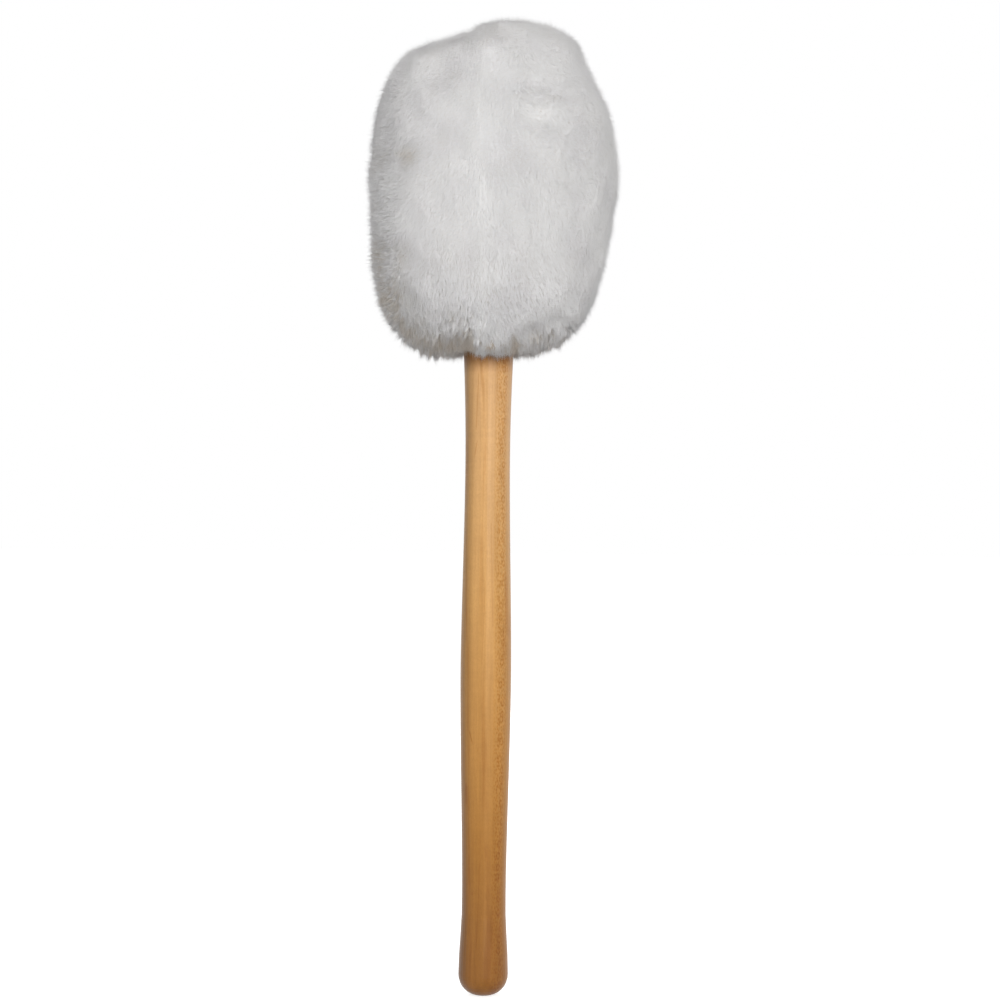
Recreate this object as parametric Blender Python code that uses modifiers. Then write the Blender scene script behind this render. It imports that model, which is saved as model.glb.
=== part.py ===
"""Fur-covered percussion mallet for gongs and bass drums.

A turned maple handle carries a hardwood core. The core is wrapped in felt, drawn into a padding
sock and dressed in a plush cover that is sewn from two panels and tied round the neck.
Metres, with +Z up along the handle and the origin at the centre of the butt's small flat end.
"""

import math

import bmesh
import bpy
from mathutils import Matrix

# Clearance wherever one piece bears on another
GAP = 0.0003

# Handle, one turned blank: heights from the butt, each with the diameter there
BUTT_FLAT_DIAMETER = 0.0040
BUTT_DOME_HEIGHT = 0.0085
BUTT_DIAMETER = 0.0204
LOWER_WAIST_HEIGHT = 0.0370
LOWER_WAIST_DIAMETER = 0.0180
GRIP_HEIGHT = 0.1290
GRIP_DIAMETER = 0.0208
UPPER_WAIST_HEIGHT = 0.2200
UPPER_WAIST_DIAMETER = 0.0183
HEM_HEIGHT = 0.2610
NECK_DIAMETER = 0.0202
NECK_FLARE = 0.0017  # diameter gained over the flare's height, at the hem
NECK_FLARE_HEIGHT = 0.0200
SEAT_DIAMETER = 0.0212
TENON_DIAMETER = 0.0140
TENON_CHAMFER = 0.0010
TENON_RELIEF = 0.0010  # end of the tenon to the washer

# Core, a turned hardwood block
CORE_DIAMETER = 0.0440
CORE_LENGTH = 0.0880
CORE_CHAMFER = 0.0015

# Fixing, a wood screw and a washer sunk in the top of the core
WASHER_DIAMETER = 0.0200
WASHER_THICKNESS = 0.0016
SCREW_DIAMETER = 0.0045
SCREW_LENGTH = 0.0350
SCREW_TIP = 0.0060
SCREW_HEAD_DIAMETER = 0.0090
SCREW_HEAD_HEIGHT = 0.0030
SCREW_RIM_HEIGHT = 0.0012
RECESS_LENGTH = 0.0050
RECESS_WIDTH = 0.0011
RECESS_DEPTH = 0.0014

# Felt: two wraps with butt joints, and an end disc above and below
FELT_WRAP = 0.0040
FELT_JOINT = 0.0008
FELT_DISC = 0.0080
FELT_EDGE = 0.0060

# Padding sock
SOCK_WALL = 0.0030

# Plush cover: how far the pile stands out from the sock on each side
PILE_LEFT = 0.0160
PILE_RIGHT = 0.0180
PILE_FRONT = 0.0130
PILE_ABOVE = 0.0120
PILE_BELOW = 0.0130
SEAM_OFFSET = -0.0058  # the seam's plane, left of the handle's axis

# Drawn cord round the neck
NECK_CORD_DIAMETER = 0.0020
NECK_CORD_ABOVE_HEM = 0.0055
KNOT_DIAMETER = 0.0046

# Cage of the cover from crown to hem, round the seam's plane: shares of the height, and of how
# far the left panel, the right panel and the front reach
COVER_STATIONS = (
    (1.000, 0.00, 0.00, 0.00),
    (1.002, 0.02, 0.34, 0.30),
    (0.991, 0.02, 0.55, 0.50),
    (0.955, 0.19, 0.70, 0.66),
    (0.908, 0.71, 0.75, 0.79),
    (0.833, 0.84, 0.825, 0.87),
    (0.714, 0.95, 0.965, 0.97),
    (0.567, 1.00, 1.01, 1.01),
    (0.416, 0.98, 0.97, 0.99),
    (0.269, 0.965, 0.91, 0.95),
    (0.129, 0.89, 0.815, 0.86),
    (0.040, 0.66, 0.65, 0.67),
    (0.000, 0.44, 0.35, 0.38),
    (0.000, 0.00, 0.00, 0.00),
)
COVER_SIDES = 10
COVER_LEVELS = 2
ROUNDNESS = {"left": 0.90, "right": 0.80}  # 1 is an ellipse across, and less is boxier

# Fineness of the turned pieces
HANDLE_SIDES = 40
HANDLE_RINGS = 34
DOME_POINTS = 9
NECK_RINGS = 6
CORD_POINTS = 12
CORE_SIDES = 32
FIXING_SIDES = 24
ARC_POINTS = 5
CROWN_ANGLE = 75  # where the screw head's flat crown ends, up from its rim
MERGE = 0.00001
SHARP_ANGLE = math.radians(35)

# Radii from the core outwards
CORE_RADIUS = CORE_DIAMETER / 2
INNER_WRAP_RADIUS = CORE_RADIUS + GAP + FELT_WRAP
OUTER_WRAP_RADIUS = INNER_WRAP_RADIUS + GAP + FELT_WRAP
SOCK_RADIUS = OUTER_WRAP_RADIUS + GAP + SOCK_WALL
POCKET_RADIUS = SOCK_RADIUS + GAP
NECK_HOLE_RADIUS = SEAT_DIAMETER / 2 + GAP

# Heights from the hem upwards
SOCK_BOTTOM = HEM_HEIGHT + PILE_BELOW
LOWER_DISC_BOTTOM = SOCK_BOTTOM + SOCK_WALL + GAP
CORE_BOTTOM = LOWER_DISC_BOTTOM + FELT_DISC + GAP
CORE_TOP = CORE_BOTTOM + CORE_LENGTH
UPPER_DISC_BOTTOM = CORE_TOP + GAP
SOCK_TOP = UPPER_DISC_BOTTOM + FELT_DISC + GAP + SOCK_WALL
CROWN_HEIGHT = SOCK_TOP + PILE_ABOVE
SHOULDER_HEIGHT = CORE_BOTTOM - GAP

# The fixing's pocket in the core, and the tenon under it
POCKET_DEPTH = WASHER_THICKNESS + SCREW_HEAD_HEIGHT + 3 * GAP
POCKET_FLOOR = CORE_TOP - POCKET_DEPTH
WASHER_BOTTOM = POCKET_FLOOR + GAP
SCREW_SEAT = WASHER_BOTTOM + WASHER_THICKNESS + GAP
TENON_TOP = WASHER_BOTTOM - TENON_RELIEF

# The cord's ring and knot, against the handle inside the hem
NECK_CORD_HEIGHT = HEM_HEIGHT + NECK_CORD_ABOVE_HEM

HANDLE_STATIONS = (
    (BUTT_DOME_HEIGHT, BUTT_DIAMETER, 0.0),
    (LOWER_WAIST_HEIGHT, LOWER_WAIST_DIAMETER, 0.0),
    (GRIP_HEIGHT, GRIP_DIAMETER, 0.0),
    (UPPER_WAIST_HEIGHT, UPPER_WAIST_DIAMETER, 0.0),
    (HEM_HEIGHT, NECK_DIAMETER, NECK_FLARE / NECK_FLARE_HEIGHT),
    (SHOULDER_HEIGHT, SEAT_DIAMETER, 0.0),
)


def clear_scene():
    for obj in list(bpy.data.objects):
        bpy.data.objects.remove(obj, do_unlink=True)


def new_collection(name):
    collection = bpy.data.collections.new(name)
    bpy.context.scene.collection.children.link(collection)
    return collection


def principled(name, colour, roughness, metallic=0.0):
    material = bpy.data.materials.new(name)
    material.use_nodes = True
    shader = material.node_tree.nodes["Principled BSDF"]
    shader.inputs["Base Color"].default_value = (*colour, 1.0)
    shader.inputs["Roughness"].default_value = roughness
    shader.inputs["Metallic"].default_value = metallic
    material.diffuse_color = (*colour, 1.0)
    return material


def handle_radius(height):
    """Radius of the handle at a height, on a smooth curve through its stations."""
    for low, high in zip(HANDLE_STATIONS, HANDLE_STATIONS[1:]):
        if height <= high[0]:
            break
    span = high[0] - low[0]
    t = (height - low[0]) / span
    rise = 3 * t**2 - 2 * t**3
    leaving = (t**3 - 2 * t**2 + t) * span * low[2]
    arriving = (t**3 - t**2) * span * high[2]
    return (low[1] * (1 - rise) + high[1] * rise + leaving + arriving) / 2


def arc(centre, radius, start, end, points=ARC_POINTS):
    """Points (radius, height) along an arc between two angles in degrees, both ends included."""
    found = []
    for i in range(points):
        angle = math.radians(start + (end - start) * i / (points - 1))
        found.append((centre[0] + radius * math.cos(angle), centre[1] + radius * math.sin(angle)))
    return found


def rounded_side(radius, corner, bottom, top):
    """Outer side of a drum with rounded corners, from its top face down to its bottom face."""
    return [
        *arc((radius - corner, top - corner), corner, 90, 0),
        *arc((radius - corner, bottom + corner), corner, 0, -90),
    ]


def piece(name, mesh, material, height=0.0):
    """An object of the mallet, standing on its seat height under the mallet's empty."""
    obj = bpy.data.objects.new(name, mesh)
    obj.location.z = height
    obj.parent = mallet
    mesh.materials.append(material)
    parts.objects.link(obj)
    return obj


def cutter(name, mesh, height=0.0):
    obj = bpy.data.objects.new(name, mesh)
    obj.location.z = height
    obj.parent = mallet
    obj.hide_render = True
    obj.display_type = "WIRE"
    cutters.objects.link(obj)
    return obj


def profile_mesh(name, profile, closed):
    """The outline of a turned piece, for a Screw modifier: (radius, height) down its outer side."""
    mesh = bpy.data.meshes.new(name)
    edges = [(i, i + 1) for i in range(len(profile) - 1)]
    if closed:
        edges.append((len(profile) - 1, 0))
    mesh.from_pydata([(radius, 0.0, height) for radius, height in profile], edges, [])
    return mesh


def turn(obj, sides):
    screw = obj.modifiers.new("Turn", "SCREW")
    screw.axis = "Z"
    screw.steps = sides
    screw.render_steps = sides
    screw.use_merge_vertices = True
    screw.merge_threshold = MERGE
    return obj


def cut(obj, tool, operation="DIFFERENCE"):
    modifier = obj.modifiers.new(tool.name, "BOOLEAN")
    modifier.operation = operation
    modifier.solver = "EXACT"
    modifier.object = tool


def set_mesh(obj):
    """Applies the modifiers and shades round faces smooth, with the true edges kept sharp."""
    bpy.context.view_layer.update()
    graph = bpy.context.evaluated_depsgraph_get()
    mesh = bpy.data.meshes.new_from_object(obj.evaluated_get(graph), depsgraph=graph)
    obj.modifiers.clear()
    obj.data = mesh
    mesh.name = obj.name
    mesh.shade_smooth()
    mesh.set_sharp_from_angle(angle=SHARP_ANGLE)


def turned_piece(name, profile, material, height, sides, closed=False):
    obj = piece(name, profile_mesh(name, profile, closed), material, height)
    return turn(obj, sides)


def box_mesh(name, size, centre):
    bm = bmesh.new()
    placed = Matrix.Translation(centre) @ Matrix.Diagonal((*size, 1.0))
    bmesh.ops.create_cube(bm, size=1.0, matrix=placed)
    mesh = bpy.data.meshes.new(name)
    bm.to_mesh(mesh)
    bm.free()
    return mesh


def ball_mesh(name, diameter, centre, sides=12, rings=8):
    bm = bmesh.new()
    placed = Matrix.Translation(centre)
    bmesh.ops.create_uvsphere(
        bm, u_segments=sides, v_segments=rings, radius=diameter / 2, matrix=placed
    )
    mesh = bpy.data.meshes.new(name)
    bm.to_mesh(mesh)
    bm.free()
    return mesh


def build_handle(material):
    """One blank: tenon with the screw's pilot hole, shoulder, swelling grip and domed butt."""
    pilot_radius = SCREW_DIAMETER / 2 + GAP
    pilot_bottom = SCREW_SEAT - SCREW_LENGTH - GAP
    tenon_radius = TENON_DIAMETER / 2
    profile = [
        (0.0, pilot_bottom),
        (pilot_radius, pilot_bottom),
        (pilot_radius, TENON_TOP),
        (tenon_radius - TENON_CHAMFER, TENON_TOP),
        (tenon_radius, TENON_TOP - TENON_CHAMFER),
        (tenon_radius, SHOULDER_HEIGHT),
    ]
    for i in range(HANDLE_RINGS):
        height = SHOULDER_HEIGHT + (BUTT_DOME_HEIGHT - SHOULDER_HEIGHT) * i / HANDLE_RINGS
        profile.append((handle_radius(height), height))
    flat_radius = BUTT_FLAT_DIAMETER / 2
    for across, down in arc((0.0, 0.0), 1.0, 0, 90, DOME_POINTS):
        radius = flat_radius + (BUTT_DIAMETER / 2 - flat_radius) * across
        profile.append((radius, BUTT_DOME_HEIGHT * (1 - down)))
    profile.append((0.0, 0.0))
    set_mesh(turned_piece("handle", profile, material, 0.0, HANDLE_SIDES))


def build_core(material):
    """A drum bored through for the tenon, with a pocket at the top for the washer and screw."""
    bore_radius = TENON_DIAMETER / 2 + GAP
    pocket_radius = WASHER_DIAMETER / 2 + GAP
    floor = CORE_LENGTH - POCKET_DEPTH
    profile = [
        (CORE_RADIUS - CORE_CHAMFER, CORE_LENGTH),
        (CORE_RADIUS, CORE_LENGTH - CORE_CHAMFER),
        (CORE_RADIUS, CORE_CHAMFER),
        (CORE_RADIUS - CORE_CHAMFER, 0.0),
        (bore_radius, 0.0),
        (bore_radius, floor),
        (pocket_radius, floor),
        (pocket_radius, CORE_LENGTH),
    ]
    set_mesh(turned_piece("core_block", profile, material, CORE_BOTTOM, CORE_SIDES, closed=True))


def build_washer(material):
    outer, inner = WASHER_DIAMETER / 2, SCREW_DIAMETER / 2 + GAP
    profile = [
        (outer, WASHER_THICKNESS),
        (outer, 0.0),
        (inner, 0.0),
        (inner, WASHER_THICKNESS),
    ]
    set_mesh(turned_piece("core_washer", profile, material, WASHER_BOTTOM, FIXING_SIDES, closed=True))


def build_screw(material):
    """A pan-head wood screw with a cross recess, standing on its head's seat."""
    head, shank = SCREW_HEAD_DIAMETER / 2, SCREW_DIAMETER / 2
    crown = SCREW_HEAD_HEIGHT - SCREW_RIM_HEIGHT
    profile = [(0.0, SCREW_HEAD_HEIGHT)]
    for across, up in arc((0.0, 0.0), 1.0, CROWN_ANGLE, 0):
        profile.append((head * across, SCREW_RIM_HEIGHT + crown * up))
    profile += [
        (head, 0.0),
        (shank, 0.0),
        (shank, SCREW_TIP - SCREW_LENGTH),
        (0.0, -SCREW_LENGTH),
    ]
    screw = turned_piece("core_screw", profile, material, SCREW_SEAT, FIXING_SIDES)
    middle = (0.0, 0.0, SCREW_HEAD_HEIGHT)
    for axis in "xy":
        length = RECESS_LENGTH if axis == "x" else RECESS_WIDTH
        width = RECESS_WIDTH if axis == "x" else RECESS_LENGTH
        mesh = box_mesh(f"recess_{axis}", (length, width, 2 * RECESS_DEPTH), middle)
        cut(screw, cutter(f"recess_{axis}", mesh, SCREW_SEAT))
    set_mesh(screw)


def build_felt_wrap(name, radius, joint_side, material):
    """A strip wrapped once round, its ends butted with a narrow joint at the front or the back."""
    inner = radius - FELT_WRAP
    profile = [(radius, CORE_LENGTH), (radius, 0.0), (inner, 0.0), (inner, CORE_LENGTH)]
    wrap = turned_piece(name, profile, material, CORE_BOTTOM, CORE_SIDES, closed=True)
    size = (FELT_JOINT, 2 * FELT_WRAP, 2 * CORE_LENGTH)
    middle = (0.0, joint_side * (inner + FELT_WRAP / 2), CORE_LENGTH / 2)
    cut(wrap, cutter(f"{name}_joint", box_mesh(name, size, middle), CORE_BOTTOM))
    set_mesh(wrap)


def build_felt_discs(material):
    """Discs over the core's ends, rounded off on the side away from it."""
    rim = OUTER_WRAP_RADIUS - FELT_EDGE
    upper = [
        (0.0, FELT_DISC),
        *arc((rim, FELT_DISC - FELT_EDGE), FELT_EDGE, 90, 0),
        (OUTER_WRAP_RADIUS, 0.0),
        (0.0, 0.0),
    ]
    set_mesh(turned_piece("felt_top_disc", upper, material, UPPER_DISC_BOTTOM, CORE_SIDES))
    lower = [
        (OUTER_WRAP_RADIUS, FELT_DISC),
        *arc((rim, FELT_EDGE), FELT_EDGE, 0, -90),
        (NECK_HOLE_RADIUS, 0.0),
        (NECK_HOLE_RADIUS, FELT_DISC),
    ]
    name = "felt_bottom_disc"
    set_mesh(turned_piece(name, lower, material, LOWER_DISC_BOTTOM, CORE_SIDES, closed=True))


def build_sock(material):
    """A bag of even wall over the whole felt stack, open only at the neck."""
    height = SOCK_TOP - SOCK_BOTTOM
    inside = rounded_side(
        SOCK_RADIUS - SOCK_WALL, FELT_EDGE + GAP, SOCK_WALL, height - SOCK_WALL
    )
    profile = [
        (0.0, height),
        *rounded_side(SOCK_RADIUS, FELT_EDGE + GAP + SOCK_WALL, 0.0, height),
        (NECK_HOLE_RADIUS, 0.0),
        (NECK_HOLE_RADIUS, SOCK_WALL),
        *reversed(inside),
        (0.0, height - SOCK_WALL),
    ]
    set_mesh(turned_piece("padding_sock", profile, material, SOCK_BOTTOM, CORE_SIDES))


def cord_ring(radius):
    """Section of the cord's ring at a radius of its own, around the cord's line."""
    line = handle_radius(NECK_CORD_HEIGHT) + GAP + NECK_CORD_DIAMETER / 2
    return arc((line, 0.0), radius, 90, -270, CORD_POINTS + 1)[:-1]


def knot_place():
    """Centre of the knot: clear of the handle, at the back where the seam meets the neck."""
    reach = handle_radius(NECK_CORD_HEIGHT) + GAP + KNOT_DIAMETER / 2
    return (SEAM_OFFSET, math.sqrt(reach**2 - SEAM_OFFSET**2), 0.0)


def build_neck_cord(material):
    """The cord that draws the hem in: a ring round the neck with its knot at the back."""
    ring = cord_ring(NECK_CORD_DIAMETER / 2)
    cord = turned_piece("neck_cord", ring, material, NECK_CORD_HEIGHT, CORE_SIDES, closed=True)
    knot = ball_mesh("knot", KNOT_DIAMETER, knot_place())
    cut(cord, cutter("knot", knot, NECK_CORD_HEIGHT), "UNION")
    set_mesh(cord)


def cover_pocket():
    """Cutter for all that the cover goes over: the sock, the neck and the cord's channel."""
    pocket_top = SOCK_TOP + GAP
    corner = FELT_EDGE + 2 * GAP + SOCK_WALL
    profile = [(0.0, pocket_top)]
    profile += rounded_side(POCKET_RADIUS, corner, SOCK_BOTTOM - GAP, pocket_top)
    below = HEM_HEIGHT - PILE_BELOW
    for i in range(NECK_RINGS):
        height = SOCK_BOTTOM - GAP + (below - SOCK_BOTTOM) * i / (NECK_RINGS - 1)
        profile.append((handle_radius(height) + GAP, height))
    profile.append((0.0, profile[-1][1]))
    return turn(cutter("cover_pocket", profile_mesh("cover_pocket", profile, False)), CORE_SIDES)


def cover_form_mesh(name, side, height):
    """Cage of the whole head with one side's outline, for a Subdivision Surface."""
    stations = len(COVER_STATIONS) - 1
    # A ring of n points subdivides to a circle inside them, so they start that much further out.
    gain = 6 / (4 + 2 * math.cos(2 * math.pi / COVER_SIDES))
    if side == "left":
        column, reach = 1, POCKET_RADIUS + PILE_LEFT + SEAM_OFFSET
    else:
        column, reach = 2, POCKET_RADIUS + PILE_RIGHT - SEAM_OFFSET
    front = POCKET_RADIUS + PILE_FRONT
    roundness = ROUNDNESS[side]
    bm = bmesh.new()
    bmesh.ops.create_uvsphere(bm, u_segments=COVER_SIDES, v_segments=stations, radius=1.0)
    for vert in bm.verts:
        station = COVER_STATIONS[round(math.acos(max(-1, min(1, vert.co.z))) / math.pi * stations)]
        angle = math.atan2(vert.co.y, vert.co.x)
        across, along = math.cos(angle), math.sin(angle)
        across = math.copysign(abs(across) ** roundness, across)
        along = math.copysign(abs(along) ** roundness, along)
        vert.co.x = SEAM_OFFSET + gain * reach * station[column] * across
        vert.co.y = gain * front * station[3] * along
        vert.co.z = height * station[0]
    mesh = bpy.data.meshes.new(name)
    bm.to_mesh(mesh)
    bm.free()
    return mesh


def build_fur_panel(side, tools, material):
    """One half of the sewn cover: its own outline, cut at the seam and hollowed for the sock."""
    name = f"fur_panel_{side}"
    height = CROWN_HEIGHT - HEM_HEIGHT
    panel = piece(name, cover_form_mesh(name, side, height), material, HEM_HEIGHT)
    smooth = panel.modifiers.new("Smooth", "SUBSURF")
    smooth.levels = COVER_LEVELS
    smooth.render_levels = COVER_LEVELS
    across = 4 * (POCKET_RADIUS + max(PILE_LEFT, PILE_RIGHT))
    direction = -1 if side == "left" else 1
    middle = (SEAM_OFFSET + direction * (across + GAP) / 2, 0.0, height / 2)
    half = box_mesh(f"{side}_half", (across, across, 2 * height), middle)
    cut(panel, cutter(f"{side}_half", half, HEM_HEIGHT), "INTERSECT")
    for tool in tools:
        cut(panel, tool)
    set_mesh(panel)


def build_cover(material):
    channel = profile_mesh("cord_channel", cord_ring(NECK_CORD_DIAMETER / 2 + GAP), True)
    knot = ball_mesh("knot_pocket", KNOT_DIAMETER + 2 * GAP, knot_place())
    tools = (
        cover_pocket(),
        turn(cutter("cord_channel", channel, NECK_CORD_HEIGHT), CORE_SIDES),
        cutter("knot_pocket", knot, NECK_CORD_HEIGHT),
    )
    for side in ("left", "right"):
        build_fur_panel(side, tools, material)


clear_scene()
parts = new_collection("percussion_mallet")
cutters = new_collection("percussion_mallet_cutters")
mallet = bpy.data.objects.new("percussion_mallet", None)
parts.objects.link(mallet)

maple = principled("lacquered_maple", (0.60, 0.34, 0.16), 0.38)
hardwood = principled("core_hardwood", (0.52, 0.33, 0.18), 0.60)
steel = principled("zinc_steel", (0.55, 0.55, 0.57), 0.35, 1.0)
felt = principled("wool_felt", (0.58, 0.57, 0.54), 0.95)
batting = principled("wool_batting", (0.74, 0.72, 0.68), 0.95)
plush = principled("white_plush", (0.80, 0.79, 0.77), 0.90)
cotton = principled("cotton_cord", (0.70, 0.68, 0.62), 0.85)

build_handle(maple)
build_core(hardwood)
build_washer(steel)
build_screw(steel)
build_felt_wrap("felt_inner_wrap", INNER_WRAP_RADIUS, 1, felt)
build_felt_wrap("felt_outer_wrap", OUTER_WRAP_RADIUS, -1, felt)
build_felt_discs(felt)
build_sock(batting)
build_neck_cord(cotton)
build_cover(plush)
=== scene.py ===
"""Looks of a fur-covered percussion mallet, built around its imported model.

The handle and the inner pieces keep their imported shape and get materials. The two fur panels are
shown as one pelt, and as a pile of closed strands that stand up from it in wisps and tufts.
Metres, +Z up along the handle, origin at the centre of the butt's flat end, -Y to the viewer.
"""

import math
from typing import NamedTuple

import bpy
import numpy as np
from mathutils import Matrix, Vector
from mathutils.bvhtree import BVHTree
from mathutils.kdtree import KDTree


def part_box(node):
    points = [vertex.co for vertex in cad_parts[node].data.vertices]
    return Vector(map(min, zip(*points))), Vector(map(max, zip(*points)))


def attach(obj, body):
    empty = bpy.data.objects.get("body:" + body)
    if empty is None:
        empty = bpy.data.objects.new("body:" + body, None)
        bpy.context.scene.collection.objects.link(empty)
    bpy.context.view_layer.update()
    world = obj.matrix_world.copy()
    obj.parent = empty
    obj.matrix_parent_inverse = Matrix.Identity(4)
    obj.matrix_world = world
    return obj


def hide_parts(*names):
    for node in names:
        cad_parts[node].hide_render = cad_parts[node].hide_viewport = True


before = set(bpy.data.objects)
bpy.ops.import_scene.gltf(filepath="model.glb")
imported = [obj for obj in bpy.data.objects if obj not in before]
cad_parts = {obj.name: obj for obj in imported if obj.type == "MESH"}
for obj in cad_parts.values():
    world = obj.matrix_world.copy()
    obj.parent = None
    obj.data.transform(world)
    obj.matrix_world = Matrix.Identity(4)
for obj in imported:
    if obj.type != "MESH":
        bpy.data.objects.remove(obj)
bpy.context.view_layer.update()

# Camera
IMAGE_WIDTH = 0.4105  # width of the view where the handle stands
IMAGE_MIDDLE = (0.0052, 0.2030)  # sideways and up, of the picture's middle
LENS = 85.0
SENSOR = 36.0
ROLL = math.radians(0.508)
CLIP = (0.05, 40.0)

# Light: the world's share of it, and the place, size and power of each lamp
WORLD_LIGHT = 0.32
LAMPS_AIM = (0.0, 0.0, 0.26)
LAMPS = {
    "key": ((0.36, -1.42, 0.56), 0.7, 15.6),
    "fill": ((-1.10, -0.90, 0.55), 0.9, 4.0),
    "top": ((0.05, 0.15, 1.35), 0.8, 1.6),
    "back": ((-0.30, 1.20, 0.90), 0.9, 14.5),
    "side": ((1.15, 0.75, 0.60), 0.9, 2.6),
}

# Floor: its glow near the object, and what it gains on the way out to where the fade ends
FLOOR_REACH = 8.0
FLOOR_SHADER = {
    "Base Color": (0.6, 0.6, 0.6, 1.0),
    "Roughness": 0.9,
    "Specular IOR Level": 0.0,
    "Emission Color": (1.0, 1.0, 1.0, 1.0),
}
FLOOR_GLOW = 0.74
FLOOR_GAIN = 0.12
FLOOR_FADE = 1.6

# Head, as rays from its middle find the two fur panels. The seam lies in the gap between them
SEAM = (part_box("fur_panel_left")[1].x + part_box("fur_panel_right")[0].x) / 2
HEAD_MIDDLE = 0.3280
HEAD_SIDES = 240
HEAD_ROWS = 150
POLAR_STEPS = 300
POLAR_END = math.pi - 0.12
RAY_LENGTH = 0.2
NECK_RADIUS = 0.0112  # rows end where they come this close to the handle's axis
NECK_REACH = 0.03  # or this close to the head's middle
NECK_CLEARANCE = 0.0108  # least distance of a strand's tip from the handle's axis

# Evening out of the solids' facets: passes round the head and from row to row, and the angles
# from straight up where it gets stronger towards the crown
EVEN_PASSES = (24, 3)
CROWN_PASSES = 90
CROWN_ANGLES = (math.radians(105), math.radians(60))
POLE_PASSES = 12
POLE_ANGLE = math.radians(20)

# Smooth noises over the head: size of their waves, and seed
NOISES = {
    "stir": (0.032, 11),
    "comb": (0.026, 12),
    "limit": (0.045, 21),
    "tint": (0.020, 31),
    "puffs": (0.017, 41),
    "patches": (0.045, 51),
}
NOISE_WAVES = 14
NOISE_SHARES = (0.6, 1.5)  # of the frequency that a noise's size gives

# Relief of the pile's front. The ridge over the seam runs through sideways and up places
FRONT_DEPTH = 0.020  # how far forward of the middle the front's forms have their full strength
RIDGE_LINE = (
    (-0.0029, 0.2637),
    (-0.0029, 0.2993),
    (-0.0019, 0.3185),
    (-0.0072, 0.3419),
    (-0.0042, 0.3596),
    (-0.0036, 0.3772),
)
RIDGE_RISE = 0.0006
RIDGE_WIDTH = 0.0034
PUFF_RISE = 0.00025
# Each swell: sideways, up, how far out, half-width and half-height
SWELLS = (
    (0.0188, 0.3525, 0.0019, 0.0078, 0.0048),
    (0.0130, 0.3642, -0.0008, 0.0060, 0.0022),
    (0.0232, 0.3625, -0.0009, 0.0070, 0.0022),
    (0.0330, 0.3592, -0.0006, 0.0060, 0.0020),
    (-0.0154, 0.3730, -0.0016, 0.0110, 0.0080),
    (-0.0370, 0.3365, -0.0010, 0.0060, 0.0044),
    (0.0362, 0.3350, -0.0006, 0.0046, 0.0420),
    (0.0190, 0.2680, -0.0022, 0.0040, 0.0030),
    (0.0300, 0.2725, -0.0014, 0.0090, 0.0030),
    (-0.0140, 0.2620, -0.0030, 0.0070, 0.0040),
    (0.0020, 0.2650, 0.0016, 0.0090, 0.0050),
)

# Crown's lifts across the head, as sideways place and how far up, with the heights that they
# come in between and how far they reach from front to back
CROWN_LIFTS = (
    (-0.0400, 0.0),
    (-0.0320, 0.0004),
    (-0.0240, 0.0001),
    (-0.0160, -0.0012),
    (-0.0090, -0.0032),
    (-0.0040, -0.0012),
    (0.0040, 0.0010),
    (0.0120, 0.0015),
    (0.0200, 0.0010),
    (0.0270, 0.0006),
    (0.0320, 0.0009),
    (0.0400, 0.0),
)
CROWN_HEIGHTS = (0.364, 0.384)
CROWN_REACH = 0.032

# Gaps of the hem in front of the handle: sideways place and half-width, where they begin on the
# way forward and down, and how far the strands in them are drawn up
HEM_GAPS = (
    (-0.0080, 0.0022),
    (0.0004, 0.0013),
    (0.0108, 0.0018),
)
GAP_FORWARD = (0.002, 0.012)
GAP_HEIGHTS = (0.271, 0.263)
GAP_RISE = 0.0012
# Painted shadow that darkens the strands in the hem's gaps
GAP_SHADE = 0.35

# Low pile, in tufts: where it starts, the height to where it is full, and how it comes on
LOW_START = 0.308
LOW_HEIGHT = 0.046
LOW_WANDER = 0.005
LOW_POWER = 2.5

# Ruffled pile at the left edge: its limits sideways and forward, and its ease towards the crown
EDGE_ACROSS = (-0.030, -0.046)
EDGE_FORWARD = (0.034, -0.006)
EDGE_TOP = (0.330, 0.352)
EDGE_EASE = 0.45
# Ruffled patches behind: their limits forward and up, and their strength
BEHIND_FORWARD = (-0.016, 0.012)
BEHIND_HEIGHTS = (0.384, 0.372)
PATCH_LIMITS = (-0.8, 1.2)
PATCH_SHARE = 0.40

# Pelt under the pile: how far the pile's tips stand over it at the top, low down and at the left
DEPTH_TOP = 0.0024
DEPTH_LOW = 0.0078
DEPTH_LEFT = 0.0050
ROOM_SHARE = 0.62  # most of the room over the padding that the pile takes
PELT_HEM = (0.262, 0.268)
PELT_HEM_SHARE = 0.35  # of the depth that is left at the hem
PELT_CLEARANCE = 0.0003

# Pile: counts, and the strands' width and taper
STRANDS = 300000
TUFTS = 3200
WISPS = 48000
BANDS = 8  # pieces that each panel's strands are shared out among
SEED = 7
STRAND_WIDTH = 0.00016
STRAND_WIDTHS = (0.7, 1.3)
RAGGED_WIDTH = 0.35
TAPER = (0.9, 1.0)

# Strands: how deep they root, how much longer they get, and their bend at the knee
ROOT_DEPTH = 0.0010
ROOT_SHARE = 0.4
LENGTHS = (1.0, 1.2)
KNEE_LAY = 0.25
KNEE_AIM = 0.25
TIP_DEPTH = 0.0010

# Gathering of wisps into tufts, and of strands into wisps
WISPS_RUFFLED = 0.65
WISP_PULL = 0.84
WISP_PULLS = (0.6, 1.2)
WISP_SPREAD = 0.0002
TUFT_RISE = 0.0010
TUFT_SPREAD = 0.0006
STRANDS_RUFFLED = 0.70
GATHER = (0.07, 0.80)  # usual, and what ragged pile adds
GATHERS = (0.5, 1.25)
GATHER_MOST = 0.95

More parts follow.
